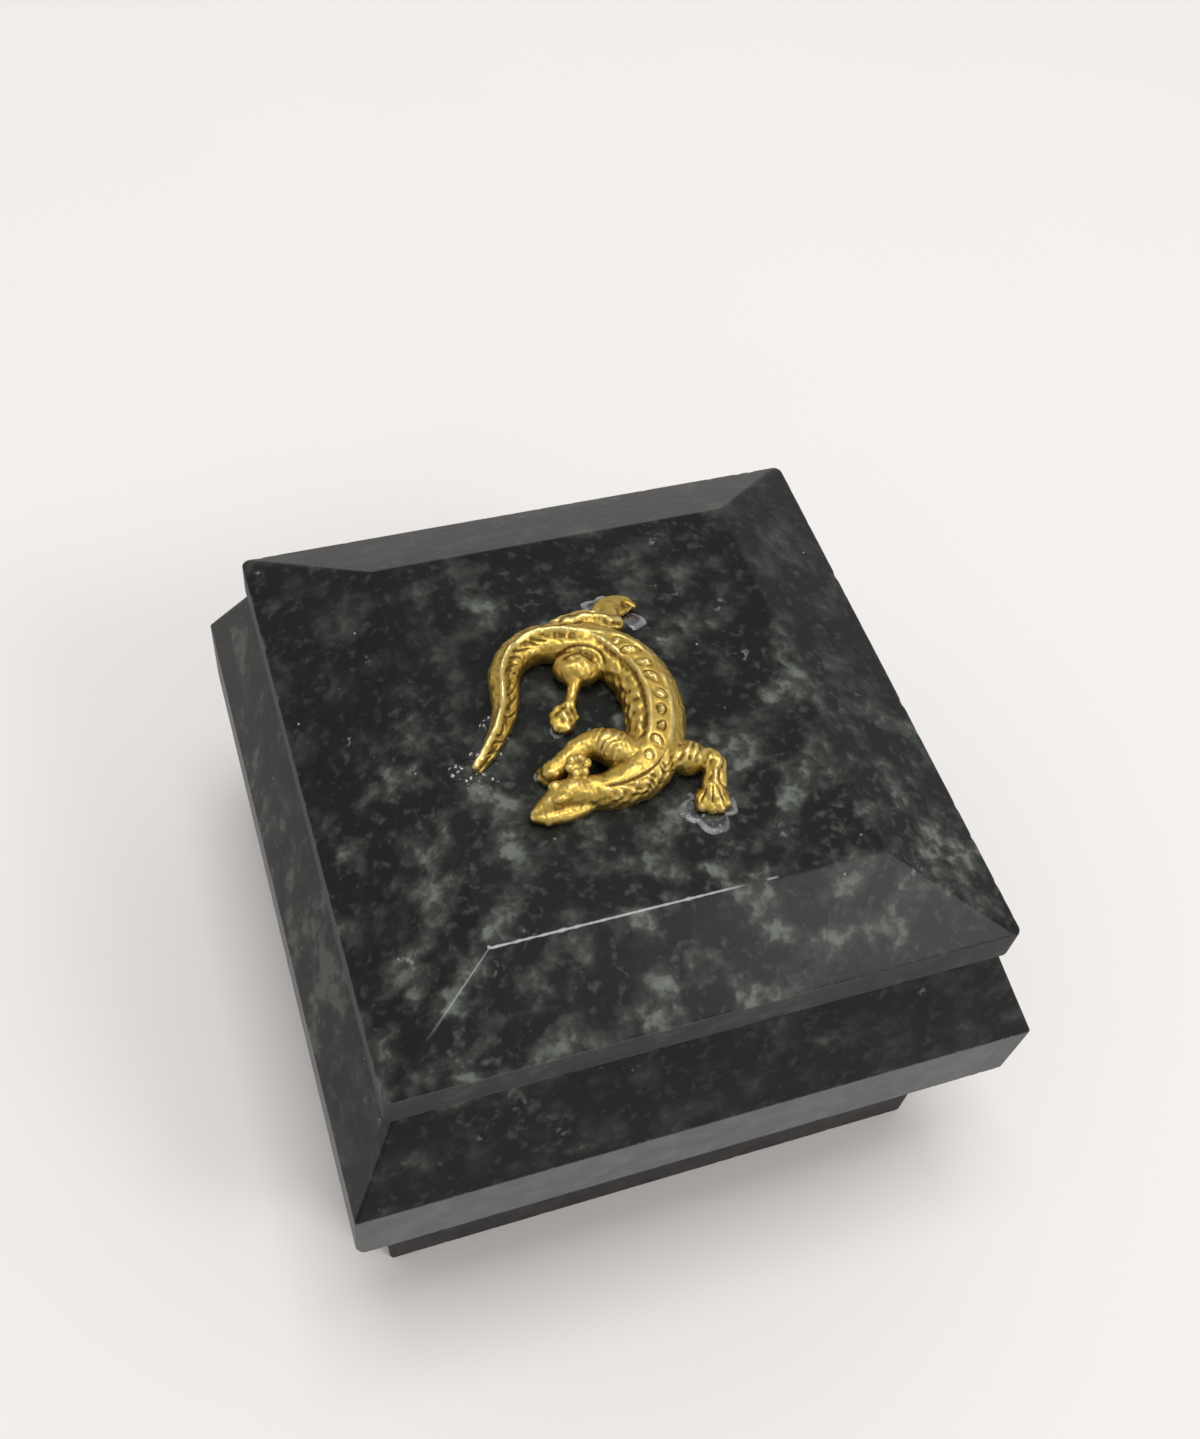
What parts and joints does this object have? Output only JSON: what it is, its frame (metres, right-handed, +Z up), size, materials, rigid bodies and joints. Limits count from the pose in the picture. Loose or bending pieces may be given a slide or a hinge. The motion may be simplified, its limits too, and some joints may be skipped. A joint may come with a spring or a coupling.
{
  "type": "stone trinket box",
  "caption": "Square dark stone keepsake box with flared upper walls on a recessed plinth, and a bevelled lift-off lid that carries a gilt cast lizard.",
  "frame": {"origin": "middle of the underside of the plinth, on the table", "axes": "+Z up, front of the box towards -Y, +X to the right"},
  "size_m": [0.1126, 0.1154, 0.088],
  "materials": {
    "polished_stone": "polished, mottled dark serpentine",
    "ground_stone": "fine ground, matte",
    "gilt_casting": "cast, gilt, satin",
    "clear_adhesive": "clear, glossy"
  },
  "bodies": {
    "box": {"floor_slab": "ground_stone", "plinth_front": "ground_stone", "plinth_back": "ground_stone", "plinth_left": "ground_stone", "plinth_right": "ground_stone", "upper_wall_front": "polished_stone", "upper_wall_back": "polished_stone", "upper_wall_left": "polished_stone", "upper_wall_right": "polished_stone"},
    "lid": {"lid_slab": "polished_stone", "lid_locating_plate": "ground_stone", "lizard": "gilt_casting", "adhesive_body": "clear_adhesive", "adhesive_tail_tip": "clear_adhesive", "adhesive_outer_front_foot": "clear_adhesive", "adhesive_inner_front_foot": "clear_adhesive", "adhesive_outer_hind_foot": "clear_adhesive", "adhesive_inner_hind_foot": "clear_adhesive"}
  },
  "joints": [
    {"name": "lid_lift", "type": "slide", "parent": "box", "child": "lid", "axis": [0, 0, 1], "range_m": [0, 0.08]}
  ]
}
